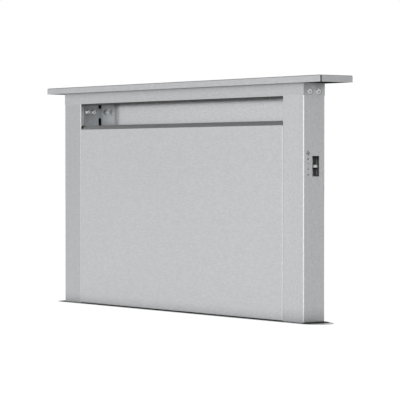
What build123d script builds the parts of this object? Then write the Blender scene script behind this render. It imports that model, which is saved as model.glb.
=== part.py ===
from build123d import *
from math import acos, ceil, cos, hypot, pi, radians, sin, sqrt, tan
import os

# A rising downdraft vent, drawn raised, in millimetres.
# X runs along the front, Y to the back, Z up. The origin is the middle of the trim flange's
# fixing holes, on the counter's surface.

# ---------------------------------------------------------------- driving dimensions

# cap
rise = 457.2                 # counter to the top of the cap, raised
cap_width = 914.4
cap_end_overhang = 56.6      # beyond the tower's sides
cap_depth = 78.0
cap_height = 12.7
cap_sheet = 1.2
cap_bend = 2.0               # outer radius of the folded edges
cap_front_overhang = 8.0
cap_slit = 2.6               # between the cap's end and its folded front edge
liner_sheet = 1.2
liner_gap = 0.1
stiffener_width = 12.0
stiffener_end_gap = 27.2     # to the cap's ends
stiffener_inset = 12.0       # from the cap's long edges

# tower
tower_depth = 51.0
sheet = 1.2
post_face = 61.0             # face of a post beside the window
post_fold = 2.0
window_fold = 1.5
return_depth = 9.0
head_height = 23.4
head_round = 0.9             # its lower edge over the window
slot_height = 54.2
foot_gap = 8.0               # tower's foot above the throat's end, raised
guard_drop = 3.4             # edging below the head's front
guard_thick = 2.6
guard_grip = 6.0

# front panel
panel_gap = 0.6
panel_foot = 3.0             # above the counter
lip_run = 7.6
lip_rise = 8.5
panel_return = 8.0
panel_fold = 1.4
pivot_inset = 4.5            # pivot behind the panel's face
pivot_height = 8.0           # above the counter
pivot_radius = 2.5
pivot_bearing = 1.1          # length of a pin in its hole
pivot_head = 1.5
pivot_head_gap = 0.1         # pin's head to the panel
running_gap = 0.05
notch_margin = 1.0           # around the lip, in the post's return
wall_seam = 1.6              # slot's end wall behind the post's return
wall_gap = 3.4               # end wall before the rear panel
wall_tab = 19.7              # tab across that gap
wall_tab_drop = 2.5          # its centre below the screws

# racks and drive
module = 2.0
pinion_teeth = 18
rack_spare_teeth = 3         # above the shaft, lowered
pressure_angle = 20.0
tooth_thinning = 0.1        # on each tooth, for backlash
rack_back = 3.0
rack_width = 10.0
channel_width = 18.0
channel_gap = 14.6           # duct side to rack channel
channel_top_gap = 4.5
shaft_radius = 5.0
shaft_rise = 36.0            # shaft centre above the throat's end
shaft_gap = 8.0              # shaft centre behind the throat
shaft_overhang = 2.0
rack_foot_gap = 4.0          # above the tower's foot

# duct and filters
duct_lap = 3.0               # duct side over the post's return
filter_front = 18.0          # filter face behind the tower's face
filter_thick = 9.0
filter_border = 14.0
rail_gap = 1.0               # top channel below the panel's top
filter_side_gap = 1.0
filter_seat_gap = 0.2
filter_lift = 12.0
filter_slack = 0.8           # in the channels
mesh_thick = 5.0
slat_columns = 24
slat_rows = 5
slat_open = 0.55             # open share of the slat pitch
slat_bridge = 8.0            # solid between two rows
handle_slats = 4              # slats from one foot to the other
handle_reach = 7.0
handle_wire = 1.5
handle_height = 50.0
gutter_height = 14.0         # floor above the counter
gutter_front = 9.2           # behind the tower's face
gutter_wall = 12.0
gutter_back_wall = 10.0
filter_cover = 8.0           # the top channel covers the filter by this
divider_flange = 14.0
brace_width = 20.0
brace_height = 12.0
brace_sheet = 1.5

# cap brackets and screws
bracket_sheet = 2.0
bracket_depth = 30.0
bracket_drop = 50.5
outer_leg_gap = 1.0          # leg above the head's lower edge
side_screw_spacing = 20.8
side_screw_back = 0.8        # pattern centre behind the tower's middle
side_screw_rise = 7.6        # above the head's lower edge
side_screw_head = 5.8        # radius
side_screw_shank = 3.0
side_screw_length = 9.0
side_screw_sink = 0.05
side_screw_gap = 0.4         # around the flush head
duct_screw_spacing = 15.2
duct_screw_back = 0.2
duct_screw_drop = 39.8
duct_screw_head = 5.0
duct_screw_proud = 2.6
duct_screw_shank = 3.0
duct_screw_length = 9.0
screw_gap = 0.1
hex_radius = 2.3
hex_depth = 2.2
cap_screw_inset = 16.0       # from the tower's sides
cap_screw_spacing = 16.0
cap_screw_shank = 2.0
cap_screw_head = 3.6
cap_screw_head_height = 2.5
cap_screw_length = 7.0

# catches
catch_inset = 14.0           # from the window's sides
catch_drop = 20.0            # centre below the panel's top
catch_width = 14.0
magnet_width = 11.2
catch_height = 12.0
catch_gap = 0.3
catch_arm = 4.5

# speed control
control_y = 3.6
control_height = 290.5
control_width = 16.6
control_length = 37.9
control_depth = 4.4
control_wall = 2.5
control_travel = 14.5        # each way
knob_width = 13.2
knob_height = 5.0
knob_recess = 0.5
knob_groove = 0.5            # width and depth of its two finger grooves
knob_groove_spacing = 2.0
knob_slope = 3.2             # sloping length at each end of its face
knob_slope_depth = 1.5
knob_clear = 0.3
lever_width = 1.8
lever_length = 4.0
lever_slot = 2.6
control_body = 8.8
board_sheet = 1.6
board_width = 28.0
board_length = 70.0

# lift button
button_inset = 30.0          # from the tower's right side
button_radius = 8.7
button_gap = 0.3
button_top_gap = 0.1
button_collar = 1.7
button_collar_height = 1.2
button_travel = 1.5
button_stem = 2.5
button_stem_in = 0.5
switch_width = 14.0
switch_height = 4.3
switch_spare = 0.5           # under the pressed stem

# trim flange, seal and throat
flange_end_reach = 38.0      # beyond the tower's sides
flange_edge_reach = 6.5      # beyond its front and back
flange_corner = 30.0
flange_sheet = 0.8
flange_edge = 0.3
fix_end_reach = 18.5         # holes beyond the tower's sides
fix_edge_inset = 4.0         # holes inside its front and back
fix_radius = 2.25
seal_thick = 1.9
seal_gap = 0.3
seal_stand = 1.8             # its ends above the flange
seal_low_stand = 0.6         # its long sides above the flange
seal_end_reach = 14.0        # its ends slope down over the flange
seal_end_edge = 0.4          # thickness where they run out
seal_depth = 6.0             # below the counter
close_gap = 0.9              # cap to seal, lowered
throat_gap = 3.0
throat_sheet = 1.5
throat_depth = 100.0
duct_flange_side = 17.5
duct_hole_end_reach = 12.0   # beyond the tower's sides
duct_hole_edge_reach = 14.0
duct_hole_radius = 2.75
pinion_window_gap = 3.0
pad_gap = 0.3
pad_length = 68.0
pad_top = 12.0               # below the counter
pad_width = 14.0
pad_rack_gap = 5.0           # front and rear pads, beside the racks
pad_end_inset = 10.0         # end pads, from the tower's edges

# bearings and gear motor
bearing_gap = 12.0           # beside the racks
bearing_length = 12.0
bush_wall = 2.4
block_wall = 3.5
motor_pinion_gap = 22.0
gearbox_length = 36.0
gearbox_half_height = 25.0
gearbox_corner = 8.0
motor_offset = 32.0
motor_radius = 21.0
motor_length = 104.0
gearbox_margin = 3.0
motor_edge = 4.0

# supply box
supply_inset = 152.0         # box centre from the tower's left side
supply_width = 100.0
supply_reach = 30.0
supply_shaft_gap = 2.5       # box below the shaft
supply_wall = 1.5
supply_foot = 3.0            # above the duct flange
lid_sheet = 1.5
gland_radius = 9.0
gland_length = 16.0
gland_bore = 3.5
gland_neck = 5.0

# ---------------------------------------------------------------- worked out from them

half_width = cap_width / 2 - cap_end_overhang
front = -tower_depth / 2
rear = tower_depth / 2
cap_under = rise - cap_height
head_under = cap_under - head_height
panel_top = head_under - slot_height
window_half = half_width - post_face
foot = foot_gap - throat_depth
duct_face = window_half + sheet          # inner face of the duct's sides
seal_top = flange_sheet + seal_stand
travel = cap_under - seal_top - close_gap      # raised to lowered

cap_front = front - cap_front_overhang
cap_rear = cap_front + cap_depth
cap_middle = (cap_front + cap_rear) / 2
cap_half = cap_width / 2
liner_top = cap_under + liner_sheet
cap_ceiling = rise - cap_sheet

pivot_y = front + pivot_inset
pivot_head_radius = pivot_inset - sheet - pivot_head_gap
pitch = pi * module
pitch_radius = module * pinion_teeth / 2
channel_inner = duct_face + sheet + channel_gap
channel_outer = channel_inner + channel_width
rack_x = (channel_inner + channel_outer) / 2
rack_side = rack_x + rack_width / 2      # outer face of the right rack and pinion
throat_x = half_width + throat_gap
throat_y = rear + throat_gap
throat_back = throat_y + throat_sheet
shaft_y = throat_back + shaft_gap
shaft_z = shaft_rise - throat_depth
rack_pitch_y = shaft_y - pitch_radius
rack_tip_y = rack_pitch_y + module
rack_root_y = rack_pitch_y - 1.25 * module
rack_foot_y = rack_root_y - rack_back
teeth_below = round((shaft_z - foot - rack_foot_gap) / pitch)
rack_teeth = teeth_below + ceil(travel / pitch) + rack_spare_teeth

filter_y0 = front + filter_front
filter_y1 = filter_y0 + filter_thick
gutter_y0 = front + gutter_front
channel_y0 = filter_y0 - filter_slack - sheet
channel_y1 = filter_y1 + filter_slack + sheet
filter_z0 = gutter_height + sheet + filter_seat_gap
top_rail_z1 = panel_top - rail_gap
filter_z1 = top_rail_z1 - filter_lift - sheet - filter_slack
filter_height = filter_z1 - filter_z0
top_rail_z0 = filter_z1 - filter_cover

opening_x = half_width + seal_gap + seal_thick
opening_y = rear + seal_gap + seal_thick
side_screw_z = head_under + side_screw_rise
duct_screw_z = cap_under - duct_screw_drop
cap_screw_x = half_width - cap_screw_inset
button_x = half_width - button_inset
supply_x = supply_inset - half_width

os.makedirs("parts", exist_ok=True)


# ---------------------------------------------------------------- helpers


def block(x0, x1, y0, y1, z0, z1, mode=Mode.ADD):
    """A box between two corners, in the part that is being built."""
    with Locations(((x0 + x1) / 2, (y0 + y1) / 2, (z0 + z1) / 2)):
        Box(abs(x1 - x0), abs(y1 - y0), abs(z1 - z0), mode=mode)


def rod(x0, x1, y, z, radius, mode=Mode.ADD):
    """A round bar or bore along X."""
    with Locations(((x0 + x1) / 2, y, z)):
        Cylinder(radius, abs(x1 - x0), rotation=(0, 90, 0), mode=mode)


def upright(part, x, y):
    """The vertical edge of a part nearest to a point of the plan."""
    edges = part.part.edges().filter_by(Axis.Z)
    return edges.sort_by(lambda edge: hypot(edge.center().X - x, edge.center().Y - y))[0]


def fold(part, x, y, toward_x, toward_y, thickness, radius):
    """Rounds a sheet's outer corner, and its inner one by the same fold."""
    fillet(upright(part, x, y), radius)
    inner = upright(part, x + toward_x * thickness, y + toward_y * thickness)
    fillet(inner, max(radius - thickness, 0.2))


def finish(piece, name):
    """Names a piece and writes its file."""
    piece.part.label = name
    export_step(piece.part, f"parts/{name}.step")


def side_name(side):
    return "right" if side > 0 else "left"


# ---------------------------------------------------------------- cap

with BuildPart() as cap_tray:
    block(-cap_half, cap_half, cap_front, cap_rear, cap_under, rise)
    fillet(cap_tray.faces().sort_by(Axis.Z)[-1].edges(), cap_bend)
    block(
        -cap_half + cap_sheet, cap_half - cap_sheet, cap_front + cap_sheet, cap_rear - cap_sheet,
        cap_under, cap_ceiling, mode=Mode.SUBTRACT,
    )
    # each end stops short of the folded long edges
    for x in (-cap_half, cap_half - cap_sheet):
        slit_front = cap_front + cap_sheet
        block(x, x + cap_sheet, slit_front, slit_front + cap_slit, cap_under, cap_ceiling, mode=Mode.SUBTRACT)
    with Locations((button_x, cap_middle, cap_ceiling + cap_sheet / 2)):
        Cylinder(button_radius + button_gap, 2 * cap_sheet, mode=Mode.SUBTRACT)
finish(cap_tray, "cap_tray")

with BuildPart() as cap_liner:
    liner_x = cap_half - cap_sheet - liner_gap
    block(
        -liner_x, liner_x, cap_front + cap_sheet + liner_gap, cap_rear - cap_sheet - liner_gap,
        cap_under, liner_top,
    )
    for side in (-1, 1):
        with Locations((side * cap_screw_x, 0, cap_under)):
            with GridLocations(0, cap_screw_spacing, 1, 2):
                Cylinder(cap_screw_shank, 4 * liner_sheet, mode=Mode.SUBTRACT)
finish(cap_liner, "cap_liner")

with BuildPart() as cap_stiffeners:
    stiffener_half = cap_half - stiffener_end_gap
    for y in (cap_front + stiffener_inset, cap_rear - stiffener_inset):
        y0 = y - stiffener_width / 2
        y1 = y + stiffener_width / 2
        block(-stiffener_half, stiffener_half, y0, y1, liner_top, cap_ceiling)
        block(
            -stiffener_half, stiffener_half, y0 + sheet, y1 - sheet, liner_top + sheet, cap_ceiling,
            mode=Mode.SUBTRACT,
        )
finish(cap_stiffeners, "cap_stiffeners")


# ---------------------------------------------------------------- tower: posts and head


def make_post(side):
    with BuildPart() as post:
        outer = side * half_width
        window = side * window_half
        block(window, outer, front, front + sheet, foot, head_under)
        block(outer - side * sheet, outer, front, rear, foot, head_under)
        block(side * channel_outer, outer, rear - sheet, rear, foot, head_under)
        block(window, window + side * sheet, front, front + return_depth, foot, head_under)
        fold(post, outer, front, -side, 1, sheet, post_fold)
        fold(post, outer, rear, -side, -1, sheet, post_fold)
        fold(post, window, front, side, 1, sheet, window_fold)
        # room for the ends of the front panel's lip
        block(
            window, window + side * sheet, front + post_fold, front + return_depth,
            panel_top - notch_margin, panel_top + lip_rise, mode=Mode.SUBTRACT,
        )
        rod(window, window + side * sheet, pivot_y, pivot_height, pivot_radius + running_gap, Mode.SUBTRACT)
        if side > 0:
            block(
                outer - sheet, outer, control_y - control_width / 2, control_y + control_width / 2,
                control_height - control_length / 2, control_height + control_length / 2,
                mode=Mode.SUBTRACT,
            )
    finish(post, f"post_{side_name(side)}")


for side in (-1, 1):
    make_post(side)

with BuildPart() as head_band:
    block(-window_half, window_half, front, front + sheet, head_under, cap_under)
    fillet(head_band.edges().filter_by(Axis.X).group_by(Axis.Z)[0].sort_by(Axis.Y)[0], head_round)
    for side in (-1, 1):
        outer = side * half_width
        block(side * window_half, outer, front, front + sheet, head_under, cap_under)
        block(outer - side * sheet, outer, front, rear, head_under, cap_under)
        block(side * channel_outer, outer, rear - sheet, rear, head_under, cap_under)
        for y in (-side_screw_spacing / 2, side_screw_spacing / 2):
            rod(
                outer - side * sheet, outer, y + side_screw_back, side_screw_z,
                side_screw_head + side_screw_gap, Mode.SUBTRACT,
            )
finish(head_band, "head_band")

with BuildPart() as edge_guard:
    guard_y = front + sheet
    block(
        -window_half, window_half, guard_y, guard_y + guard_thick,
        head_under - guard_drop, head_under + guard_grip,
    )
    fillet(edge_guard.edges().filter_by(Axis.X).sort_by(Axis.Z)[:2], guard_thick / 3)
finish(edge_guard, "edge_guard")

with BuildPart() as rear_panel:
    block(-channel_inner, channel_inner, rear - sheet, rear, foot, cap_under)
finish(rear_panel, "rear_panel")

with BuildPart() as lower_skirt:
    block(-window_half, window_half, front, front + sheet, foot, 0)
finish(lower_skirt, "lower_skirt")

with BuildPart() as bottom_brace:
    brace_y = rear - sheet
    brace_half = brace_width / 2
    block(-brace_half, brace_half, -brace_y, brace_y, foot, foot + brace_height)
    block(
        -brace_half + brace_sheet, brace_half - brace_sheet, -brace_y, brace_y,
        foot + brace_sheet, foot + brace_height, mode=Mode.SUBTRACT,
    )
finish(bottom_brace, "bottom_brace")


def make_duct_side(side):
    with BuildPart() as duct_side:
        face = side * duct_face
        far = face + side * sheet
        panel_y = rear - sheet
        block(face, far, front + return_depth - duct_lap, panel_y, foot, head_under)
        # beside the slot the wall stops short of the post's return and of the rear panel
        slot_foot = panel_top - notch_margin
        seam_y = front + return_depth + wall_seam
        block(face, far, front, seam_y, slot_foot, head_under, mode=Mode.SUBTRACT)
        tab_z = duct_screw_z - wall_tab_drop
        for z0, z1 in ((slot_foot, tab_z - wall_tab / 2), (tab_z + wall_tab / 2, head_under)):
            block(face, far, panel_y - wall_gap, panel_y, z0, z1, mode=Mode.SUBTRACT)
        for y in (-duct_screw_spacing / 2, duct_screw_spacing / 2):
            y_screw = y + duct_screw_back
            rod(face, far, y_screw, duct_screw_z, duct_screw_shank + screw_gap, Mode.SUBTRACT)
    finish(duct_side, f"duct_side_{side_name(side)}")


for side in (-1, 1):
    make_duct_side(side)


# ---------------------------------------------------------------- cap brackets and screws


def make_cap_bracket(side):
    inner = side * (duct_face + sheet)
    outer = side * (half_width - sheet)
    half_depth = bracket_depth / 2
    with BuildPart() as bracket:
        block(inner, outer, -half_depth, half_depth, cap_under - bracket_sheet, cap_under)
        block(
            inner, inner + side * bracket_sheet, -half_depth, half_depth,
            cap_under - bracket_drop, cap_under,
        )
        block(
            outer - side * bracket_sheet, outer, -half_depth, half_depth,
            head_under + outer_leg_gap, cap_under,
        )
        for y in (-side_screw_spacing / 2, side_screw_spacing / 2):
            rod(
                outer - side * bracket_sheet, outer, y + side_screw_back, side_screw_z,
                side_screw_shank + screw_gap, Mode.SUBTRACT,
            )
        for y in (-duct_screw_spacing / 2, duct_screw_spacing / 2):
            rod(
                inner, inner + side * bracket_sheet, y + duct_screw_back, duct_screw_z,
                duct_screw_shank + screw_gap, Mode.SUBTRACT,
            )
        with Locations((side * cap_screw_x, 0, cap_under)):
            with GridLocations(0, cap_screw_spacing, 1, 2):
                Cylinder(cap_screw_shank + screw_gap, 4 * bracket_sheet, mode=Mode.SUBTRACT)
    finish(bracket, f"cap_bracket_{side_name(side)}")


for side in (-1, 1):
    make_cap_bracket(side)

with BuildPart() as side_screws:
    for side in (-1, 1):
        seat = side * (half_width - sheet)
        face = side * (half_width - side_screw_sink)
        for y in (-side_screw_spacing / 2, side_screw_spacing / 2):
            y_screw = y + side_screw_back
            rod(seat, face, y_screw, side_screw_z, side_screw_head)
            rod(seat - side * side_screw_length, seat, y_screw, side_screw_z, side_screw_shank)
            with BuildSketch(Plane.YZ.offset(face)):
                with Locations((y_screw, side_screw_z)):
                    RegularPolygon(hex_radius, 6)
            extrude(amount=-side * hex_depth, mode=Mode.SUBTRACT)
    rims = side_screws.edges().filter_by(GeomType.CIRCLE).filter_by(lambda e: e.radius > side_screw_shank)
    chamfer(rims.filter_by(lambda e: abs(e.center().X) > half_width - sheet / 2), sheet / 3)
finish(side_screws, "side_screws")

with BuildPart() as duct_screws:
    for side in (-1, 1):
        seat = side * duct_face
        face = seat - side * duct_screw_proud
        for y in (-duct_screw_spacing / 2, duct_screw_spacing / 2):
            y_screw = y + duct_screw_back
            rod(seat, face, y_screw, duct_screw_z, duct_screw_head)
            rod(seat, seat + side * duct_screw_length, y_screw, duct_screw_z, duct_screw_shank)
            with BuildSketch(Plane.YZ.offset(face)):
                with Locations((y_screw, duct_screw_z)):
                    RegularPolygon(hex_radius, 6)
            extrude(amount=side * hex_depth, mode=Mode.SUBTRACT)
    rims = duct_screws.edges().filter_by(GeomType.CIRCLE).filter_by(lambda e: e.radius > duct_screw_shank)
    domes = rims.filter_by(lambda e: abs(e.center().X) < duct_face - duct_screw_proud / 2)
    fillet(domes, duct_screw_proud / 2)
finish(duct_screws, "duct_screws")

with BuildPart() as cap_screws:
    screw_seat = cap_under - bracket_sheet
    with Locations((-cap_screw_x, 0), (cap_screw_x, 0)):
        with GridLocations(0, cap_screw_spacing, 1, 2):
            with Locations((0, 0, screw_seat - cap_screw_head_height / 2)):
                Cylinder(cap_screw_head, cap_screw_head_height)
            with Locations((0, 0, screw_seat + cap_screw_length / 2)):
                Cylinder(cap_screw_shank, cap_screw_length)
finish(cap_screws, "cap_screws")


# ---------------------------------------------------------------- racks


def make_rack_channel(side):
    inner = side * channel_inner
    outer = side * channel_outer
    top = cap_under - channel_top_gap
    with BuildPart() as channel:
        block(inner, outer, rack_foot_y - sheet, rear, foot, top)
        block(
            inner + side * sheet, outer - side * sheet, rack_foot_y, rear, foot, top,
            mode=Mode.SUBTRACT,
        )
    finish(channel, f"rack_channel_{side_name(side)}")


def rack_outline():
    """Teeth that point to the back, with a gap level with the shaft."""
    z_start = shaft_z - teeth_below * pitch
    slant = tan(radians(pressure_angle))
    half_tooth = pitch / 4 - tooth_thinning
    half_tip = half_tooth - module * slant
    half_root = half_tooth + 1.25 * module * slant
    points = [(rack_foot_y, z_start), (rack_root_y, z_start)]
    for tooth in range(rack_teeth):
        z = z_start + (tooth + 0.5) * pitch
        points.append((rack_root_y, z - half_root))
        points.append((rack_tip_y, z - half_tip))
        points.append((rack_tip_y, z + half_tip))
        points.append((rack_root_y, z + half_root))
    z_end = z_start + rack_teeth * pitch
    points.append((rack_root_y, z_end))
    points.append((rack_foot_y, z_end))
    return points


def make_rack(side):
    with BuildPart() as rack:
        with BuildSketch(Plane.YZ.offset(side * rack_x - rack_width / 2)):
            with BuildLine():
                Polyline(*rack_outline(), close=True)
            make_face()
        extrude(amount=rack_width)
    finish(rack, f"lift_rack_{side_name(side)}")


for side in (-1, 1):
    make_rack_channel(side)
    make_rack(side)


# ---------------------------------------------------------------- drive shaft and pinions


def involute(radius):
    """Half the angle of the tooth at a radius, in radians."""
    base = pitch_radius * cos(radians(pressure_angle))

    def roll(r):
        turn = acos(min(1, base / r))
        return tan(turn) - turn

    half_at_pitch = (pitch / 4 - tooth_thinning) / pitch_radius
    return half_at_pitch + roll(pitch_radius) - roll(max(radius, base))


def pinion_outline():
    """One tooth points at the rack's gap, to the front."""
    base = pitch_radius * cos(radians(pressure_angle))
    tip = pitch_radius + module
    root = pitch_radius - 1.25 * module
    steps = 4
    radii = [root] + [base + (tip - base) * step / steps for step in range(steps + 1)]
    points = []
    for tooth in range(pinion_teeth):
        middle = pi + 2 * pi * tooth / pinion_teeth
        rising = [(r, middle - involute(r)) for r in radii]
        falling = [(r, middle + involute(r)) for r in reversed(radii)]
        for r, angle in rising + falling:
            points.append((shaft_y + r * cos(angle), shaft_z + r * sin(angle)))
    return points


def make_pinion(side):
    with BuildPart() as pinion:
        with BuildSketch(Plane.YZ.offset(side * rack_x - rack_width / 2)):
            with BuildLine():
                Polyline(*pinion_outline(), close=True)
            make_face()
            with Locations((shaft_y, shaft_z)):
                Circle(shaft_radius, mode=Mode.SUBTRACT)
        extrude(amount=rack_width)
    finish(pinion, f"pinion_{side_name(side)}")


for side in (-1, 1):
    make_pinion(side)

shaft_end = rack_side + bearing_gap + bearing_length + shaft_overhang
with BuildPart() as drive_shaft:
    rod(-shaft_end, shaft_end, shaft_y, shaft_z, shaft_radius)
    chamfer(drive_shaft.edges().filter_by(GeomType.CIRCLE), shaft_overhang / 2)
finish(drive_shaft, "drive_shaft")


# ---------------------------------------------------------------- duct, gutter and filter holders

with BuildPart() as grease_gutter:
    floor_z = gutter_height
    block(-duct_face, duct_face, gutter_y0, channel_y1, floor_z, floor_z + sheet)
    block(-duct_face, duct_face, gutter_y0, gutter_y0 + sheet, floor_z, floor_z + gutter_wall)
    block(-duct_face, duct_face, channel_y1 - sheet, channel_y1, floor_z, floor_z + gutter_back_wall)
finish(grease_gutter, "grease_gutter")

with BuildPart() as filter_top_rail:
    block(-duct_face, duct_face, channel_y0, channel_y0 + sheet, top_rail_z0, top_rail_z1)
    block(-duct_face, duct_face, channel_y0, rear - sheet, top_rail_z1 - sheet, top_rail_z1)
    block(-duct_face, duct_face, channel_y1 - sheet, channel_y1, top_rail_z0, top_rail_z1)
finish(filter_top_rail, "filter_top_rail")

with BuildPart() as filter_divider:
    flange_half = divider_flange / 2
    flange_foot = gutter_height + gutter_back_wall
    block(-flange_half, flange_half, channel_y1 - sheet, channel_y1, flange_foot, top_rail_z0)
    block(-sheet / 2, sheet / 2, filter_y0, channel_y1 - sheet, gutter_height + sheet, top_rail_z0)
finish(filter_divider, "filter_divider")


# ---------------------------------------------------------------- filters


def filter_span(side):
    """The filter's nearer and further edge along X."""
    near = side * (sheet / 2 + filter_side_gap)
    far = side * (duct_face - filter_side_gap)
    return near, far


def make_filter(side):
    near, far = filter_span(side)
    middle = (near + far) / 2
    inner_width = abs(far - near) - 2 * filter_border
    inner_height = filter_height - 2 * filter_border
    inner_z0 = filter_z0 + filter_border
    inner_z1 = filter_z1 - filter_border
    half_inner = inner_width / 2
    with BuildPart() as filter_frame:
        block(near, far, filter_y0, filter_y1, filter_z0, filter_z1)
        block(
            middle - half_inner, middle + half_inner, filter_y0, filter_y1, inner_z0, inner_z1,
            mode=Mode.SUBTRACT,
        )
    finish(filter_frame, f"filter_frame_{side_name(side)}")

    mesh_y = (filter_y0 + filter_y1) / 2
    column_pitch = inner_width / slat_columns
    row_pitch = inner_height / slat_rows
    with BuildPart() as filter_mesh:
        with BuildSketch(Plane.XZ.offset(-mesh_y - mesh_thick / 2)):
            with Locations((middle, (inner_z0 + inner_z1) / 2)):
                Rectangle(inner_width, inner_height)
                with GridLocations(column_pitch, row_pitch, slat_columns, slat_rows):
                    Rectangle(column_pitch * slat_open, row_pitch - slat_bridge, mode=Mode.SUBTRACT)
        extrude(amount=mesh_thick)
    finish(filter_mesh, f"filter_mesh_{side_name(side)}")

    mesh_face = mesh_y - mesh_thick / 2
    grip_z = filter_z0 + handle_height
    grip_y = filter_y0 - handle_reach
    half_grip = handle_slats * column_pitch / 2
    with BuildPart() as filter_handle:
        with BuildLine(Plane.XY.offset(grip_z)):
            FilletPolyline(
                (middle - half_grip, mesh_face), (middle - half_grip, grip_y),
                (middle + half_grip, grip_y), (middle + half_grip, mesh_face),
                radius=2 * handle_wire,
            )
        with BuildSketch(Plane((middle - half_grip, mesh_face, grip_z), z_dir=(0, -1, 0))):
            Circle(handle_wire)
        sweep()
    finish(filter_handle, f"filter_handle_{side_name(side)}")


for side in (-1, 1):
    make_filter(side)


# ---------------------------------------------------------------- front panel

panel_half = window_half - panel_gap
lip_slope = lip_rise / lip_run
lip_drop = sheet * sqrt(1 + lip_slope ** 2)
side_top = panel_top - sheet

with BuildPart() as front_panel:
    block(-panel_half, panel_half, front, front + sheet, panel_foot, side_top)
    block(-panel_half, panel_half, front, front + panel_return, panel_foot, panel_foot + sheet)
    for side in (-1, 1):
        edge = side * panel_half
        block(edge - side * sheet, edge, front, front + panel_return, panel_foot, side_top)
        fold(front_panel, edge, front, -side, 1, sheet, panel_fold)
        rod(edge - side * sheet, edge, pivot_y, pivot_height, pivot_radius, Mode.SUBTRACT)
    with BuildSketch(Plane.YZ.offset(-panel_half)):
        with BuildLine():
            Polyline(
                (front, side_top), (front, panel_top), (front + lip_run, panel_top + lip_rise),
                (front + lip_run, panel_top + lip_rise - lip_drop),
                (front + sheet, panel_top + sheet * lip_slope - lip_drop), (front + sheet, side_top),
                close=True,
            )
        make_face()
    extrude(amount=2 * panel_half)
finish(front_panel, "front_panel")

with BuildPart() as panel_pins:
    for side in (-1, 1):
        inner = side * (panel_half - sheet)
        rod(inner, side * (window_half + pivot_bearing), pivot_y, pivot_height, pivot_radius)
        rod(inner - side * pivot_head, inner, pivot_y, pivot_height, pivot_head_radius)
finish(panel_pins, "panel_pins")

catch_z = panel_top - catch_drop
catch_face = front + sheet + catch_gap
magnet_back = front + return_depth
catch_inner = window_half - catch_inset - catch_width / 2
with BuildPart() as catch_brackets:
    for side in (-1, 1):
        inner = side * catch_inner
        block(
            inner, side * duct_face, magnet_back, magnet_back + catch_arm,
            catch_z - catch_height / 2, catch_z + catch_height / 2,
        )
finish(catch_brackets, "catch_brackets")

with BuildPart() as catch_magnets:
    for side in (-1, 1):
        inner = side * catch_inner
        block(
            inner, inner + side * magnet_width, catch_face, magnet_back,
            catch_z - catch_height / 2, catch_z + catch_height / 2,
        )
finish(catch_magnets, "catch_magnets")


# ---------------------------------------------------------------- speed control

control_face = half_width - sheet
control_floor = control_face - control_depth
control_back = control_face - control_body

with BuildPart() as slider_housing:
    half_y = control_width / 2
    half_z = control_length / 2
    block(
        control_back, control_face, control_y - half_y - control_wall, control_y + half_y + control_wall,
        control_height - half_z - control_wall, control_height + half_z + control_wall,
    )
    block(
        control_floor, control_face, control_y - half_y, control_y + half_y,
        control_height - half_z, control_height + half_z, mode=Mode.SUBTRACT,
    )
    lever_reach = control_travel + lever_length / 2 + knob_clear
    block(
        control_back, control_floor, control_y - lever_slot / 2, control_y + lever_slot / 2,
        control_height - lever_reach, control_height + lever_reach, mode=Mode.SUBTRACT,
    )
finish(slider_housing, "slider_housing")

with BuildPart() as slider_knob:
    knob_face = half_width - knob_recess
    knob_end = knob_width / 2
    slope_top = knob_end - knob_slope
    with BuildSketch(Plane.XY.offset(control_height - knob_height / 2)):
        with BuildLine():
            Polyline(
                (control_floor + knob_clear, control_y - knob_end),
                (knob_face - knob_slope_depth, control_y - knob_end),
                (knob_face, control_y - slope_top), (knob_face, control_y + slope_top),
                (knob_face - knob_slope_depth, control_y + knob_end),
                (control_floor + knob_clear, control_y + knob_end), close=True,
            )
        make_face()
    extrude(amount=knob_height)
    fillet(slider_knob.faces().sort_by(Axis.X)[-1].edges(), knob_clear * 2)
    for offset in (-knob_groove_spacing / 2, knob_groove_spacing / 2):
        groove_z = control_height + offset
        block(
            knob_face - knob_groove, knob_face, control_y - knob_width / 2, control_y + knob_width / 2,
            groove_z - knob_groove / 2, groove_z + knob_groove / 2, mode=Mode.SUBTRACT,
        )
    block(
        control_back + knob_clear, control_floor + knob_clear,
        control_y - lever_width / 2, control_y + lever_width / 2,
        control_height - lever_length / 2, control_height + lever_length / 2,
    )
finish(slider_knob, "slider_knob")

with BuildPart() as slider_board:
    block(
        control_back - board_sheet, control_back, control_y - board_width / 2, control_y + board_width / 2,
        control_height - board_length / 2, control_height + board_length / 2,
    )
finish(slider_board, "slider_board")


# ---------------------------------------------------------------- lift button

switch_top = liner_top + switch_height
with BuildPart() as button_switch:
    half_switch = switch_width / 2
    block(
        button_x - half_switch, button_x + half_switch,
        cap_middle - half_switch, cap_middle + half_switch, liner_top, switch_top,
    )
    well = button_stem_in + button_travel + switch_spare
    with Locations((button_x, cap_middle, switch_top - well / 2)):
        Cylinder(button_stem + button_gap, well, mode=Mode.SUBTRACT)
finish(button_switch, "button_switch")

with BuildPart() as lift_button:
    button_top = rise - button_top_gap
    collar_top = cap_ceiling - button_top_gap
    collar_foot = collar_top - button_collar_height
    stem_foot = switch_top - button_stem_in
    with Locations((button_x, cap_middle, (button_top + collar_foot) / 2)):
        Cylinder(button_radius, button_top - collar_foot)
    with Locations((button_x, cap_middle, (collar_top + collar_foot) / 2)):
        Cylinder(button_radius + button_collar, button_collar_height)
    with Locations((button_x, cap_middle, (collar_foot + stem_foot) / 2)):
        Cylinder(button_stem, collar_foot - stem_foot)
finish(lift_button, "lift_button")


# ---------------------------------------------------------------- trim flange, seal and throat

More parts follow.
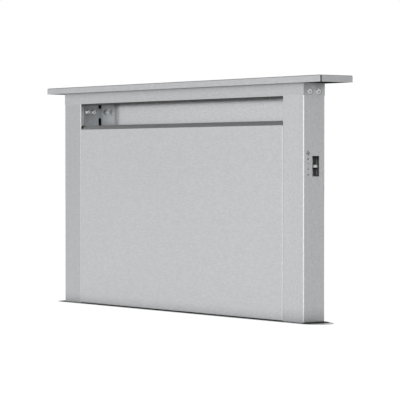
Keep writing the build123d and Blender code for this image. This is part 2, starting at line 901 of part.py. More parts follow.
with BuildPart() as counter_flange:
    with BuildSketch(Plane.XY):
        flange_x = half_width + flange_end_reach
        flange_y = rear + flange_edge_reach
        RectangleRounded(2 * flange_x, 2 * flange_y, flange_corner)
        Rectangle(2 * opening_x, 2 * opening_y, mode=Mode.SUBTRACT)
        fix_x = half_width + fix_end_reach
        fix_y = rear - fix_edge_inset
        with GridLocations(2 * fix_x, 2 * fix_y, 2, 2):
            Circle(fix_radius, mode=Mode.SUBTRACT)
    extrude(amount=flange_sheet)
    rim = counter_flange.faces().sort_by(Axis.Z)[-1].outer_wire().edges()
    chamfer(rim, flange_edge)
finish(counter_flange, "counter_flange")

with BuildPart() as wiper_seal:
    seal_x = half_width + seal_gap
    seal_y = rear + seal_gap
    with BuildSketch(Plane.XY.offset(-seal_depth)):
        Rectangle(2 * opening_x, 2 * opening_y)
        Rectangle(2 * seal_x, 2 * seal_y, mode=Mode.SUBTRACT)
    extrude(amount=seal_depth + flange_sheet + seal_low_stand)
    # sloping ends that lie on the flange
    for side in (-1, 1):
        with BuildSketch(Plane.XZ.offset(-opening_y)):
            with BuildLine():
                Polyline(
                    (side * seal_x, flange_sheet), (side * seal_x, seal_top),
                    (side * opening_x, seal_top),
                    (side * (seal_x + seal_end_reach), flange_sheet + seal_end_edge),
                    (side * (seal_x + seal_end_reach), flange_sheet), close=True,
                )
            make_face()
        extrude(amount=2 * opening_y)
finish(wiper_seal, "wiper_seal")

with BuildPart() as throat:
    outer_x = throat_x + throat_sheet
    block(-outer_x, outer_x, -throat_back, throat_back, -throat_depth, 0)
    with BuildSketch(Plane.XY.offset(-throat_depth)):
        Rectangle(2 * (outer_x + duct_flange_side), 2 * (throat_back + duct_flange_side))
        duct_hole_x = half_width + duct_hole_end_reach
        duct_hole_y = rear + duct_hole_edge_reach
        with GridLocations(2 * duct_hole_x, 2 * duct_hole_y, 2, 2):
            Circle(duct_hole_radius, mode=Mode.SUBTRACT)
    extrude(amount=throat_sheet)
    block(-throat_x, throat_x, -throat_y, throat_y, -throat_depth, 0, mode=Mode.SUBTRACT)
    window_x = rack_width / 2 + pinion_window_gap
    window_z = pitch_radius + module + pinion_window_gap
    for side in (-1, 1):
        block(
            side * rack_x - window_x, side * rack_x + window_x, throat_y, throat_back,
            shaft_z - window_z, shaft_z + window_z, mode=Mode.SUBTRACT,
        )
finish(throat, "throat")

with BuildPart() as guide_pads:
    pad_foot = -pad_top - pad_length
    for side in (-1, 1):
        for end in (-1, 1):
            y = end * (rear - pad_end_inset)
            block(
                side * (half_width + pad_gap), side * throat_x, y - pad_width / 2, y + pad_width / 2,
                pad_foot, -pad_top,
            )
            x = side * (rack_side + pad_rack_gap + pad_width / 2)
            block(
                x - pad_width / 2, x + pad_width / 2, end * (rear + pad_gap), end * throat_y,
                pad_foot, -pad_top,
            )
finish(guide_pads, "guide_pads")


# ---------------------------------------------------------------- bearings and gear motor

bush_radius = shaft_radius + bush_wall
block_radius = bush_radius + block_wall
bearing_x = rack_side + bearing_gap + bearing_length / 2

with BuildPart() as bearing_blocks:
    for side in (-1, 1):
        x0 = side * bearing_x - bearing_length / 2
        block(
            x0, x0 + bearing_length, throat_back, shaft_y + block_radius,
            shaft_z - block_radius, shaft_z + block_radius,
        )
        rod(x0, x0 + bearing_length, shaft_y, shaft_z, bush_radius, Mode.SUBTRACT)
finish(bearing_blocks, "bearing_blocks")

with BuildPart() as shaft_bushes:
    for side in (-1, 1):
        x0 = side * bearing_x - bearing_length / 2
        rod(x0, x0 + bearing_length, shaft_y, shaft_z, bush_radius)
        rod(x0, x0 + bearing_length, shaft_y, shaft_z, shaft_radius + running_gap, Mode.SUBTRACT)
finish(shaft_bushes, "shaft_bushes")

motor_y = shaft_y + motor_offset
gearbox_x = rack_side - rack_width - motor_pinion_gap - motor_length - gearbox_length
with BuildPart() as gearbox:
    gearbox_back = motor_y + motor_radius + gearbox_margin
    block(
        gearbox_x, gearbox_x + gearbox_length, throat_back, gearbox_back,
        shaft_z - gearbox_half_height, shaft_z + gearbox_half_height,
    )
    fillet(gearbox.edges().filter_by(Axis.X).sort_by(Axis.Y)[-2:], gearbox_corner)
    rod(gearbox_x, gearbox_x + gearbox_length, shaft_y, shaft_z, shaft_radius + running_gap, Mode.SUBTRACT)
finish(gearbox, "gearbox")

with BuildPart() as lift_motor:
    motor_start = gearbox_x + gearbox_length
    rod(motor_start, motor_start + motor_length, motor_y, shaft_z, motor_radius)
    fillet(lift_motor.edges().filter_by(GeomType.CIRCLE).sort_by(Axis.X)[-1], motor_edge)
finish(lift_motor, "lift_motor")


# ---------------------------------------------------------------- supply box

supply_z0 = -throat_depth + throat_sheet + supply_foot
supply_z1 = shaft_z - shaft_radius - supply_shaft_gap
supply_y1 = throat_back + supply_reach
supply_left = supply_x - supply_width / 2
supply_right = supply_x + supply_width / 2
supply_back = supply_y1 + lid_sheet
gland_z = (supply_z0 + supply_z1) / 2

with BuildPart() as junction_box:
    block(supply_left, supply_right, throat_back, supply_y1, supply_z0, supply_z1)
    block(
        supply_left + supply_wall, supply_right - supply_wall, throat_back + supply_wall, supply_y1,
        supply_z0 + supply_wall, supply_z1 - supply_wall, mode=Mode.SUBTRACT,
    )
finish(junction_box, "junction_box")

with BuildPart() as junction_lid:
    block(supply_left, supply_right, supply_y1, supply_back, supply_z0, supply_z1)
    with BuildSketch(Plane.XZ.offset(-supply_y1)):
        with Locations((supply_x, gland_z)):
            Circle(gland_neck + screw_gap)
    extrude(amount=-lid_sheet, mode=Mode.SUBTRACT)
finish(junction_lid, "junction_lid")

with BuildPart() as cable_gland:
    with BuildSketch(Plane.XZ.offset(-supply_back)):
        with Locations((supply_x, gland_z)):
            RegularPolygon(gland_radius, 6)
    extrude(amount=-gland_length)
    with BuildSketch(Plane.XZ.offset(-supply_y1)):
        with Locations((supply_x, gland_z)):
            Circle(gland_neck)
    extrude(amount=-lid_sheet)
    with BuildSketch(Plane.XZ.offset(-supply_y1)):
        with Locations((supply_x, gland_z)):
            Circle(gland_bore)
    extrude(amount=-lid_sheet - gland_length, mode=Mode.SUBTRACT)
finish(cable_gland, "cable_gland")
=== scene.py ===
import math

import bmesh
import bpy
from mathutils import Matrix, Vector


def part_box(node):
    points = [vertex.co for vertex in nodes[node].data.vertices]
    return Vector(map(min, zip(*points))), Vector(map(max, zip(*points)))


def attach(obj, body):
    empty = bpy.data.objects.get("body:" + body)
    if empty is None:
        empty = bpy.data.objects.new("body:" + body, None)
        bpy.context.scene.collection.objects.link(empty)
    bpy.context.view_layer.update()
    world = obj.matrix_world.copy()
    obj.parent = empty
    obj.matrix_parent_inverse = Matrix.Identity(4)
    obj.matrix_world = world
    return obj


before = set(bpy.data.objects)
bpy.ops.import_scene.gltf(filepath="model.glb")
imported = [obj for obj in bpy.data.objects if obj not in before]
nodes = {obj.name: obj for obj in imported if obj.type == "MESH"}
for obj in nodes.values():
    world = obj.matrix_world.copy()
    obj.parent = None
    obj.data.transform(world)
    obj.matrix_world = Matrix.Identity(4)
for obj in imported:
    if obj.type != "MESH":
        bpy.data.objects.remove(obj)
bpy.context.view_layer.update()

MM = 0.001


# ---------------------------------------------------------------- node helpers


class Tree:
    """Short calls for building a node tree."""

    def __init__(self, tree):
        self.tree = tree
        self.tree.nodes.clear()

    def add(self, kind, inputs=None, **settings):
        node = self.tree.nodes.new(kind)
        for name, value in settings.items():
            setattr(node, name, value)
        for key, value in (inputs or {}).items():
            self.put(node.inputs[key], value)
        return node

    def put(self, socket, value):
        if isinstance(value, bpy.types.NodeSocket):
            self.tree.links.new(value, socket)
        elif isinstance(value, bpy.types.Node):
            self.tree.links.new(value.outputs[0], socket)
        else:
            socket.default_value = value

    def math(self, operation, a, b=0.0, clamp=False):
        node = self.add("ShaderNodeMath", {0: a, 1: b}, operation=operation, use_clamp=clamp)
        return node.outputs[0]

    def vary(self, noise, amount):
        """Noise from 0 to 1 turned into a change that averages 0."""
        return self.math("MULTIPLY", self.math("SUBTRACT", noise, 0.5), amount)

    def ramp(self, value, start, end, low, high):
        """A smooth step: low up to start, high from end on."""
        node = self.add("ShaderNodeMapRange", {
            "Value": value, "From Min": start, "From Max": end, "To Min": low, "To Max": high,
        }, interpolation_type="SMOOTHSTEP")
        return node.outputs[0]

    def mix_color(self, factor, a, b):
        node = self.add("ShaderNodeMix", data_type="RGBA")
        self.put(node.inputs[0], factor)
        self.put(node.inputs[6], a)
        self.put(node.inputs[7], b)
        return node.outputs[2]

    def tinted(self, value, tint):
        """A grey value as a colour, with a factor for each channel."""
        channels = {i: self.math("MULTIPLY", value, tint[i]) for i in range(3)}
        return self.add("ShaderNodeCombineColor", channels).outputs[0]

    def stretched_noise(self, scale, detail=2.0, roughness=0.5):
        """Noise whose size differs along X, Y and Z: scale is cycles per metre."""
        place = self.add("ShaderNodeTexCoord").outputs["Object"]
        mapped = self.add("ShaderNodeMapping", {"Vector": place, "Scale": scale})
        noise = self.add(
            "ShaderNodeTexNoise",
            {"Vector": mapped.outputs[0], "Scale": 1.0, "Detail": detail, "Roughness": roughness},
        )
        return noise.outputs[0]

    def even_noise(self, scale, detail=2.0, roughness=0.5):
        """Noise of the same size along X, Y and Z."""
        return self.stretched_noise((scale, scale, scale), detail, roughness)

    def relief(self, height, strength, depth):
        """A normal that follows height."""
        node = self.add("ShaderNodeBump", {"Strength": strength, "Distance": depth, "Height": height})
        return node.outputs[0]

    def edge_wear(self, radius):
        """0 on flat faces, rising towards 1 at outer edges."""
        bevel = self.add("ShaderNodeBevel", {"Radius": radius}, samples=4)
        normal = self.add("ShaderNodeNewGeometry").outputs["Normal"]
        dot = self.add(
            "ShaderNodeVectorMath", {0: bevel.outputs[0], 1: normal}, operation="DOT_PRODUCT")
        return self.math("SUBTRACT", 1.0, dot.outputs["Value"], clamp=True)

    def upright_fold(self):
        """0 on faces square to X or Y, rising to 0.7 in the middle of an upright fold between two of them."""
        normal = self.add("ShaderNodeNewGeometry").outputs["Normal"]
        parts = self.add("ShaderNodeSeparateXYZ", {0: normal})
        along_x = self.math("ABSOLUTE", parts.outputs["X"])
        along_y = self.math("ABSOLUTE", parts.outputs["Y"])
        return self.math("MINIMUM", along_x, along_y)

    def painted_shade(self, reach, strength, facing=None):
        """1 on open faces, falling in corners and under overhangs: painted shade.

        With facing, a direction, it is what stands in that direction that counts."""
        inputs = {"Distance": reach}
        if facing:
            inputs["Normal"] = self.add("ShaderNodeCombineXYZ", dict(zip("XYZ", facing)))
        open_share = self.add("ShaderNodeAmbientOcclusion", inputs, samples=8).outputs["AO"]
        closed_share = self.math("SUBTRACT", 1.0, open_share)
        return self.math("SUBTRACT", 1.0, self.math("MULTIPLY", closed_share, strength))


def new_material(name):
    material = bpy.data.materials.new(name)
    material.use_nodes = True
    return material, Tree(material.node_tree)


NEUTRAL = (1.0, 1.0, 1.0)
COOL = (0.985, 0.995, 1.012)
BLACK = (0.0, 0.0, 0.0, 1.0)

# noise in brushed steel, in cycles per metre along the grain and across it
HAIRLINES = (22.0, 2600.0)
SCRATCHES = (60.0, 900.0)
STREAKS = (6.0, 260.0)
CLOUDS = (2.2, 5.0)
STEEL_MOTTLE = (110.0, 340.0)
GRAIN_MIX = 0.10
CLOUDS_MIX = 0.04
STEEL_EDGE = 0.9 * MM
STEEL_WEAR = 0.35
STEEL_SPREAD = 0.16
WORN_POLISH = 0.2
# strength and depth
STEEL_RELIEF = (0.25, 0.02 * MM)


def brushed(name, grain, level, roughness=0.40, anisotropy=0.6, mottle=STEEL_MOTTLE, mottle_mix=0.28,
            streak_mix=0.0, painted_shade=0.65, painted_shade_reach=14.0 * MM, fold=0.0, tint=COOL):
    """Brushed stainless steel with its grain along one axis, x, y or z.

    Upright folds get a painted highlight as strong as fold, and corners within the reach get painted shade as
    strong as the shade argument."""
    material, t = new_material(name)

    def scale(along, across):
        return tuple(along if axis == grain else across for axis in "xyz")

    fine = t.stretched_noise(scale(*HAIRLINES), detail=3.0)
    layers = [
        (fine, GRAIN_MIX),
        (t.stretched_noise(scale(*SCRATCHES), detail=2.0), GRAIN_MIX),
        (t.stretched_noise(scale(*mottle), detail=2.0, roughness=0.6), mottle_mix),
        (t.stretched_noise(scale(*CLOUDS), detail=1.0), CLOUDS_MIX),
    ]
    if streak_mix:
        layers.append((t.stretched_noise(scale(*STREAKS), detail=2.0), streak_mix))
    shade = 1.0
    for layer, amount in layers:
        shade = t.math("ADD", shade, t.vary(layer, amount))
    worn = t.edge_wear(STEEL_EDGE)
    shade = t.math("ADD", shade, t.math("MULTIPLY", worn, STEEL_WEAR))
    # painted highlight on upright folds
    if fold:
        shade = t.math("ADD", shade, t.math("MULTIPLY", t.upright_fold(), fold))
    # painted shade in corners and under overhangs
    shade = t.math("MULTIPLY", shade, t.painted_shade(painted_shade_reach, painted_shade))
    rough = t.math("ADD", roughness, t.vary(fine, STEEL_SPREAD))
    rough = t.math("SUBTRACT", rough, t.math("MULTIPLY", worn, WORN_POLISH), clamp=True)
    # the highlight of a brushed face is long across its grain
    tangent = t.add("ShaderNodeTangent", direction_type="RADIAL", axis=grain.upper())
    shader = t.add("ShaderNodeBsdfPrincipled", {
        "Base Color": t.tinted(t.math("MULTIPLY", shade, level), tint),
        "Metallic": 1.0,
        "Roughness": rough,
        "Anisotropic": anisotropy,
        "Tangent": tangent.outputs[0],
        "Normal": t.relief(fine, *STEEL_RELIEF),
    })
    t.add("ShaderNodeOutputMaterial", {"Surface": shader.outputs[0]})
    return material


# noise in the other materials, in cycles per metre
METAL_GRIT = 300.0
METAL_CLOUD = 18.0
COATING_GRIT = 900.0
COATING_CLOUD = 30.0
GRIT_SPREAD = 0.2
METAL_EDGE = 0.7 * MM
METAL_WEAR = 0.3
COATING_EDGE = 0.5 * MM
COATING_WEAR = 2.0
# strength and depth
METAL_RELIEF = (0.15, 0.05 * MM)
COATING_RELIEF = (0.3, 0.06 * MM)


def plain_metal(name, level, roughness, tint=NEUTRAL, spots=0.12):
    """Bare or plated metal with cloudy variation and brighter edges."""
    material, t = new_material(name)
    grit = t.even_noise(METAL_GRIT, detail=4.0, roughness=0.65)
    cloud = t.even_noise(METAL_CLOUD)
    shade = t.math("ADD", t.vary(grit, spots), t.vary(cloud, spots))
    shade = t.math("ADD", shade, t.math("MULTIPLY", t.edge_wear(METAL_EDGE), METAL_WEAR))
    value = t.math("MULTIPLY", t.math("ADD", shade, 1.0), level)
    shader = t.add("ShaderNodeBsdfPrincipled", {
        "Base Color": t.tinted(value, tint),
        "Metallic": 1.0,
        "Roughness": t.math("ADD", roughness, t.vary(grit, GRIT_SPREAD), clamp=True),
        "Normal": t.relief(grit, *METAL_RELIEF),
    })
    t.add("ShaderNodeOutputMaterial", {"Surface": shader.outputs[0]})
    return material


def coated(name, color, roughness, spread=0.25, wear_color=None, gloss=0.5, shades=(), painted_band=None):
    """Paint, rubber or moulded plastic with a fine texture.

    shades holds the settings of painted shade that darkens it. band is an upright stripe of painted light and
    shade: its place along Y, where it starts to fade and where it has faded, and the lightness inside and
    outside it."""
    material, t = new_material(name)
    grit = t.even_noise(COATING_GRIT, detail=3.0, roughness=0.6)
    cloud = t.even_noise(COATING_CLOUD)
    dark = tuple(c * (1.0 - spread) for c in color) + (1.0,)
    light = tuple(min(1.0, c * (1.0 + spread)) for c in color) + (1.0,)
    mixed = t.mix_color(t.math("MULTIPLY", t.math("ADD", grit, cloud), 0.5), dark, light)
    if wear_color:
        worn = t.math("MULTIPLY", t.edge_wear(COATING_EDGE), COATING_WEAR, clamp=True)
        mixed = t.mix_color(worn, mixed, wear_color + (1.0,))
    for shade in shades:
        mixed = t.mix_color(t.painted_shade(*shade), BLACK, mixed)
    # painted light and shade in an upright stripe
    if painted_band:
        middle, near, far, inside, outside = painted_band
        place = t.add("ShaderNodeTexCoord").outputs["Object"]
        along = t.add("ShaderNodeSeparateXYZ", {0: place}).outputs["Y"]
        beside = t.math("ABSOLUTE", t.math("SUBTRACT", along, middle))
        mixed = t.mix_color(t.ramp(beside, near, far, inside, outside), BLACK, mixed)
    shader = t.add("ShaderNodeBsdfPrincipled", {
        "Base Color": mixed,
        "Roughness": t.math("ADD", roughness, t.vary(grit, GRIT_SPREAD), clamp=True),
        "Normal": t.relief(grit, *COATING_RELIEF),
        "Specular IOR Level": gloss,
    })
    t.add("ShaderNodeOutputMaterial", {"Surface": shader.outputs[0]})
    return material


# ---------------------------------------------------------------- materials of the CAD nodes

# The steel's lightness differs from piece to piece, so that each face matches the photograph: lit and shaded
# copies of one steel, painted light and shade.
POST_MOTTLE = {"mottle": (200.0, 200.0), "mottle_mix": 0.34, "streak_mix": 0.08}
BLUISH = (0.96, 1.0, 1.03)
steel_x = brushed("steel_grain_across", "x", 0.58, painted_shade=0.42, painted_shade_reach=22.0 * MM, fold=0.75)
steel_z = brushed("steel_grain_upright", "z", 0.57, painted_shade_reach=32.0 * MM, fold=0.5, **POST_MOTTLE)
# painted shade: the left post is a darker copy of the right post's steel
steel_left_shaded = brushed("steel_left_post", "z", 0.49, painted_shade_reach=22.0 * MM, fold=0.9, **POST_MOTTLE)
steel_flange = brushed("steel_flange", "x", 0.75, painted_shade=0.3)
steel_head = brushed("steel_head", "x", 0.54, painted_shade=0.5)
steel_cap = brushed("steel_cap", "x", 0.55)
steel_rear = brushed("steel_slot_back", "x", 0.48, roughness=0.18, mottle_mix=0.22, painted_shade=0.1)
steel_duct = brushed("steel_duct", "z", 0.33, roughness=0.3, tint=(0.96, 1.0, 1.04))
steel_wall = brushed(
    "steel_slot_end", "y", 0.72, roughness=0.42, anisotropy=0.8, painted_shade=0.5, tint=BLUISH)

zinc = plain_metal("zinc_plate", 0.55, 0.38, tint=(0.98, 1.0, 1.02))
bright = plain_metal("bright_steel", 0.8, 0.18, spots=0.06)
screw_steel = plain_metal("screw_steel", 0.68, 0.2, spots=0.06)
gear_steel = plain_metal("gear_steel", 0.36, 0.32, tint=(1.0, 0.99, 0.97))
aluminium = plain_metal("aluminium", 0.62, 0.35, spots=0.08)
bronze = plain_metal("bush_bronze", 0.5, 0.35, tint=(1.0, 0.7, 0.4))
magnet = plain_metal("magnet", 0.14, 0.45)

# the cap's liner: black, and near black as painted shade under the cap
liner_shade_black = coated("liner_shade_black", (0.012, 0.012, 0.013), 0.6, gloss=0.0)
# the wiper seal: black rubber, and at the foot it also stands in for the tower's contact shade, painted shade
rubber = coated("rubber", (0.014, 0.014, 0.015), 0.55, gloss=0.1)
# the edge guard's dark rubber stands in for the shade under the head's lower edge: painted shade
guard_rubber_shade = coated("guard_rubber_shade", (0.045, 0.045, 0.046), 0.5, gloss=0.3)
black_plastic = coated("black_plastic", (0.02, 0.02, 0.021), 0.42, wear_color=(0.06, 0.06, 0.06))
pad_plastic = coated("pad_plastic", (0.75, 0.74, 0.7), 0.45, spread=0.08)
enamel = coated("motor_enamel", (0.035, 0.036, 0.04), 0.4, wear_color=(0.12, 0.12, 0.12))

# the speed control: its housing gets painted shade, darkest in a stripe behind the knob's middle, and under
# its top edge
knob_low, knob_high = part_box("slider_knob")
knob_middle = (knob_low.y + knob_high.y) / 2
SHADE_STRIPE_BEHIND = 3.4 * MM
TOWARD_TOP = (0.75, 0.0, 0.66)
# painted shade deep in the speed control, for the knob and the board
DEEP_SHADE = (12.0 * MM, 1.0)
# painted shade: a dark stripe, and darkening under the top edge
housing_black = coated(
    "housing_black", (0.55, 0.55, 0.556), 0.5, wear_color=(0.25, 0.25, 0.25), gloss=0.2,
    shades=((30.0 * MM, 1.2, TOWARD_TOP),),
    painted_band=(knob_middle + SHADE_STRIPE_BEHIND, 1.2 * MM, 3.2 * MM, 0.16, 1.0),
)
# the knob: painted highlight in its middle, painted shade at its ends and where it sits deep
knob_grey = coated(
    "knob_grey", (0.78, 0.78, 0.79), 0.3, spread=0.05, shades=(DEEP_SHADE,),
    painted_band=(knob_middle, 1.0 * MM, 6.0 * MM, 1.0, 0.3),
)
board = coated("circuit_board", (0.02, 0.09, 0.05), 0.4, gloss=0.1, shades=(DEEP_SHADE,))

FINISHES = {
    steel_cap: ("cap_tray",),
    steel_x: ("front_panel", "lower_skirt", "lift_button"),
    steel_flange: ("counter_flange",),
    steel_head: ("head_band",),
    steel_z: ("post_right",),
    steel_left_shaded: ("post_left",),
    steel_rear: ("rear_panel",),
    steel_wall: ("duct_side_left", "duct_side_right"),
    steel_duct: (
        "grease_gutter", "filter_top_rail", "filter_divider", "cap_stiffeners", "bottom_brace",
    ),
    zinc: (
        "throat", "cap_bracket_left", "cap_bracket_right", "catch_brackets", "bearing_blocks",
        "rack_channel_left", "rack_channel_right", "junction_box", "junction_lid",
    ),
    bright: (
        "cap_screws", "panel_pins", "drive_shaft", "filter_handle_left", "filter_handle_right",
    ),
    screw_steel: ("side_screws", "duct_screws"),
    gear_steel: ("pinion_left", "pinion_right", "lift_rack_left", "lift_rack_right"),
    aluminium: (
        "filter_frame_left", "filter_frame_right", "filter_mesh_left", "filter_mesh_right", "gearbox",
    ),
    bronze: ("shaft_bushes",),
    magnet: ("catch_magnets",),
    liner_shade_black: ("cap_liner",),
    rubber: ("wiper_seal",),
    guard_rubber_shade: ("edge_guard",),
    housing_black: ("slider_housing",),
    black_plastic: ("cable_gland", "button_switch"),
    knob_grey: ("slider_knob",),
    pad_plastic: ("guide_pads",),
    enamel: ("lift_motor",),
    board: ("slider_board",),
}
for material, names in FINISHES.items():
    for name in names:
        nodes[name].data.materials.clear()
        nodes[name].data.materials.append(material)


# ---------------------------------------------------------------- printed marks by the speed control

FULL_TURN = 2 * math.pi
MARK_Y = -14.4 * MM
MARK_THICK = 0.05 * MM
SIDE_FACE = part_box("post_right")[1].x
MARK_FACE = SIDE_FACE + MARK_THICK
FAN_Z = 314.3 * MM
FAN_HUB = 0.8 * MM
FAN_TIP = 4.7 * MM
FAN_BLADES = 4
# a blade's two edges: the angle where each starts at the hub, and its sweep out to the tip, in radians
BLADE_LEAD = (0.25, 1.05)
BLADE_TRAIL = (-0.35, 0.30)
# height and radius in millimetres, from the highest dot down
DOTS = ((303.8, 1.75), (295.6, 1.0), (285.2, 1.3), (274.7, 1.45))

ink = coated("mark_ink", (0.10, 0.10, 0.105), 0.5, spread=0.1)


def mesh_piece(name, mesh_data, material, body):
    mesh = bpy.data.meshes.new(name)
    mesh_data.to_mesh(mesh)
    mesh_data.free()
    mesh.materials.append(material)
    piece = bpy.data.objects.new(name, mesh)
    bpy.context.scene.collection.objects.link(piece)
    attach(piece, body)


def add_prism(mesh_data, outline):
    """A flat shape on the post's side, given the thickness of the print."""
    low = [mesh_data.verts.new((SIDE_FACE, y, z)) for y, z in outline]
    high = [mesh_data.verts.new((MARK_FACE, y, z)) for y, z in outline]
    mesh_data.faces.new(high)
    mesh_data.faces.new(list(reversed(low)))
    count = len(outline)
    for i in range(count):
        j = (i + 1) % count
        mesh_data.faces.new((low[i], low[j], high[j], high[i]))


def disc(z, radius, count=20):
    angles = [FULL_TURN * i / count for i in range(count)]
    return [(MARK_Y + radius * math.cos(a), z + radius * math.sin(a)) for a in angles]


def fan_blade(turn, steps=8):
    """A swept blade of the fan mark."""
    lead = []
    trail = []
    for i in range(steps + 1):
        share = i / steps
        radius = FAN_HUB + (FAN_TIP - FAN_HUB) * share
        lead.append((radius, turn + BLADE_LEAD[0] + BLADE_LEAD[1] * share))
        trail.append((radius, turn + BLADE_TRAIL[0] + BLADE_TRAIL[1] * share))
    points = lead + list(reversed(trail))
    return [(MARK_Y + r * math.cos(a), FAN_Z + r * math.sin(a)) for r, a in points]


marks = bmesh.new()
for blade in range(FAN_BLADES):
    add_prism(marks, fan_blade(FULL_TURN * blade / FAN_BLADES))
add_prism(marks, disc(FAN_Z, FAN_HUB))
for dot_z, dot_radius in DOTS:
    add_prism(marks, disc(dot_z * MM, dot_radius * MM))
mesh_piece("speed_marks", marks, ink, "tower")


# ---------------------------------------------------------------- stage, light and camera

WHITE = (1.0, 1.0, 1.0, 1.0)

# the floor, as the camera sees it and as the steel mirrors it
FLOOR_HALF = 12.0
FLOOR_DROP = 0.2 * MM
FLOOR_MATT = 0.8
FLOOR_FAINT = 0.16
FLOOR_GLOW = 0.9
FLOOR_PALE = 0.4
FLOOR_SHARE = 0.58
FLOOR_FRONT = 1.2
FLOOR_BACK = 0.71
FLOOR_FADE = (-0.1, 0.02)
FOOT_REACH = 0.12
FOOT_SHARE = 0.5
# the foot's shadow fades more slowly beside the tower, and is partly faded already in front of it
FOOT_BESIDE = 0.7
FOOT_BEFORE = 0.75 * FOOT_REACH
# the cut-out in the floor, against the seal's outer size
CUT_INSIDE_X = 12.0 * MM
CUT_OUTSIDE_Y = 2.5 * MM

# the room that the steel mirrors; a direction's ramp runs over the cosine of the angle to it
WALL_DIM = 0.665
WALL_LIT = 1.24
WINDOW = 1.4
CEILING_SHARE = 0.65
LEFT_SHARE = 0.64
LIT_SIDE = (-0.174, -0.985, 0.0)
WINDOW_SIDE = (0.866, -0.5, 0.0)
LEFT_SIDE = (-0.87, -0.05, 0.49)
LIT_EDGE = (0.624, 0.74)
WINDOW_EDGE = (0.84, 0.966)
LEFT_EDGE = (0.78, 0.94)
CEILING_EDGE = (0.15, 0.9)
# what matt surfaces get from the back of the room and from its front
MATT_BACK = 0.8
MATT_FRONT = 1.15


def grey(level):
    return (level, level, level, 1.0)


def mirrored_floor_level(t):
    """Brighter in front of the vent than behind it, with the tower's soft shadow around its foot."""
    place = t.add("ShaderNodeTexCoord").outputs["Object"]
    apart = t.add("ShaderNodeSeparateXYZ", {0: place})
    level = t.ramp(apart.outputs["Y"], *FLOOR_FADE, FLOOR_FRONT, FLOOR_BACK)
    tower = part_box("post_right")[1]
    beyond_x = t.math("SUBTRACT", t.math("ABSOLUTE", apart.outputs["X"]), tower.x)
    beyond_y = t.math("SUBTRACT", t.math("ABSOLUTE", apart.outputs["Y"]), tower.y)
    beyond = t.math(
        "MAXIMUM", t.math("MULTIPLY", beyond_x, FOOT_BESIDE), t.math("ADD", beyond_y, FOOT_BEFORE))
    return t.math("MULTIPLY", level, t.ramp(beyond, 0.0, FOOT_REACH, FOOT_SHARE, 1.0))


def floor_material():
    """White to the camera with a faint shadow, pale to matt surfaces, and shaded in the steel."""
    material, t = new_material("floor_white")
    path = t.add("ShaderNodeLightPath")
    matt = t.add("ShaderNodeBsdfDiffuse", {"Color": grey(FLOOR_MATT)})
    faint = t.add("ShaderNodeBsdfDiffuse", {"Color": grey(FLOOR_FAINT)})
    glow = t.add("ShaderNodeEmission", {"Color": WHITE, "Strength": FLOOR_GLOW})
    seen = t.add("ShaderNodeAddShader", {0: faint, 1: glow})
    pale = t.add("ShaderNodeBsdfDiffuse", {"Color": grey(FLOOR_PALE)})
    sheen = t.add("ShaderNodeEmission", {
        "Color": WHITE, "Strength": t.math("MULTIPLY", mirrored_floor_level(t), FLOOR_SHARE),
    })
    mirrored = t.add("ShaderNodeAddShader", {0: pale, 1: sheen})
    body = t.add("ShaderNodeMixShader", {0: path.outputs["Is Glossy Ray"], 1: matt, 2: mirrored})
    both = t.add("ShaderNodeMixShader", {0: path.outputs["Is Camera Ray"], 1: body, 2: seen})
    t.add("ShaderNodeOutputMaterial", {"Surface": both})
    return material


def rectangle(half_x, half_y):
    return [(-half_x, -half_y, 0), (half_x, -half_y, 0), (half_x, half_y, 0), (-half_x, half_y, 0)]


def stage_floor():
    """A counter with a cut-out for the throat."""
    seal_low, seal_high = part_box("wiper_seal")
    half_x = (seal_high.x - seal_low.x) / 2 - CUT_INSIDE_X
    half_y = (seal_high.y - seal_low.y) / 2 + CUT_OUTSIDE_Y
    corners = rectangle(FLOOR_HALF, FLOOR_HALF) + rectangle(half_x, half_y)
    ring = [(i, (i + 1) % 4, 4 + (i + 1) % 4, 4 + i) for i in range(4)]
    floor_mesh = bpy.data.meshes.new("floor")
    floor_mesh.from_pydata(corners, [], ring)
    floor_mesh.materials.append(floor_material())
    floor = bpy.data.objects.new("floor", floor_mesh)
    floor.location.z = -FLOOR_DROP
    bpy.context.scene.collection.objects.link(floor)


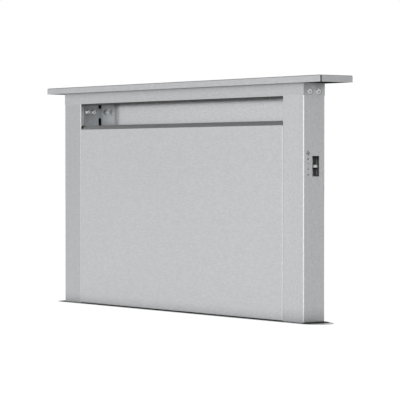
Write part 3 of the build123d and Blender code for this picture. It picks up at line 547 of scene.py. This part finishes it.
def studio_world():
    """A white room: nearly even for matt surfaces, and for the steel a dim room with a lit wall, a window
    and a darker ceiling and left side."""
    world = bpy.data.worlds.new("studio")
    bpy.context.scene.world = world
    world.use_nodes = True
    t = Tree(world.node_tree)
    way = t.add("ShaderNodeTexCoord").outputs["Generated"]
    height = t.add("ShaderNodeSeparateXYZ", {0: way}).outputs["Z"]

    def toward(side):
        return t.add("ShaderNodeVectorMath", {0: way, 1: side}, operation="DOT_PRODUCT").outputs["Value"]

    walls = t.ramp(toward(LIT_SIDE), *LIT_EDGE, WALL_DIM, WALL_LIT)
    walls = t.math("MULTIPLY", walls, t.ramp(toward(LEFT_SIDE), *LEFT_EDGE, 1.0, LEFT_SHARE))
    ceiling = t.ramp(height, *CEILING_EDGE, 1.0, CEILING_SHARE)
    window = t.ramp(toward(WINDOW_SIDE), *WINDOW_EDGE, 0.0, WINDOW)
    room = t.math("ADD", t.math("MULTIPLY", walls, ceiling), window)
    even = t.ramp(toward(LIT_SIDE), -1.0, 1.0, MATT_BACK, MATT_FRONT)
    path = t.add("ShaderNodeLightPath")
    matt_light = t.add("ShaderNodeBackground", {"Color": WHITE, "Strength": even})
    gloss_light = t.add("ShaderNodeBackground", {"Color": WHITE, "Strength": room})
    seen = t.add("ShaderNodeBackground", {"Color": WHITE, "Strength": 1.0})
    light = t.add("ShaderNodeMixShader", {
        0: path.outputs["Is Glossy Ray"], 1: matt_light, 2: gloss_light,
    })
    both = t.add("ShaderNodeMixShader", {0: path.outputs["Is Camera Ray"], 1: light, 2: seen})
    t.add("ShaderNodeOutputWorld", {"Surface": both})


# the camera was fitted to the edges of the object in the photograph
CAMERA_LENS = 194.50
CAMERA_PLACE = (3.4744, -2.5539, 0.2942)
CAMERA_LOOKS_DOWN = 0.948
CAMERA_TURN = 53.302
VIEW_DEPTH = 60.0


def photo_camera():
    data = bpy.data.cameras.new("photo_camera")
    data.sensor_width = 36.0
    data.lens = CAMERA_LENS
    data.clip_end = VIEW_DEPTH
    camera = bpy.data.objects.new("photo_camera", data)
    camera.location = CAMERA_PLACE
    camera.rotation_euler = (math.radians(90.0 - CAMERA_LOOKS_DOWN), 0.0, math.radians(CAMERA_TURN))
    bpy.context.scene.collection.objects.link(camera)
    return camera


stage_floor()
studio_world()
bpy.context.scene.camera = photo_camera()
bpy.context.scene.view_settings.view_transform = "Standard"
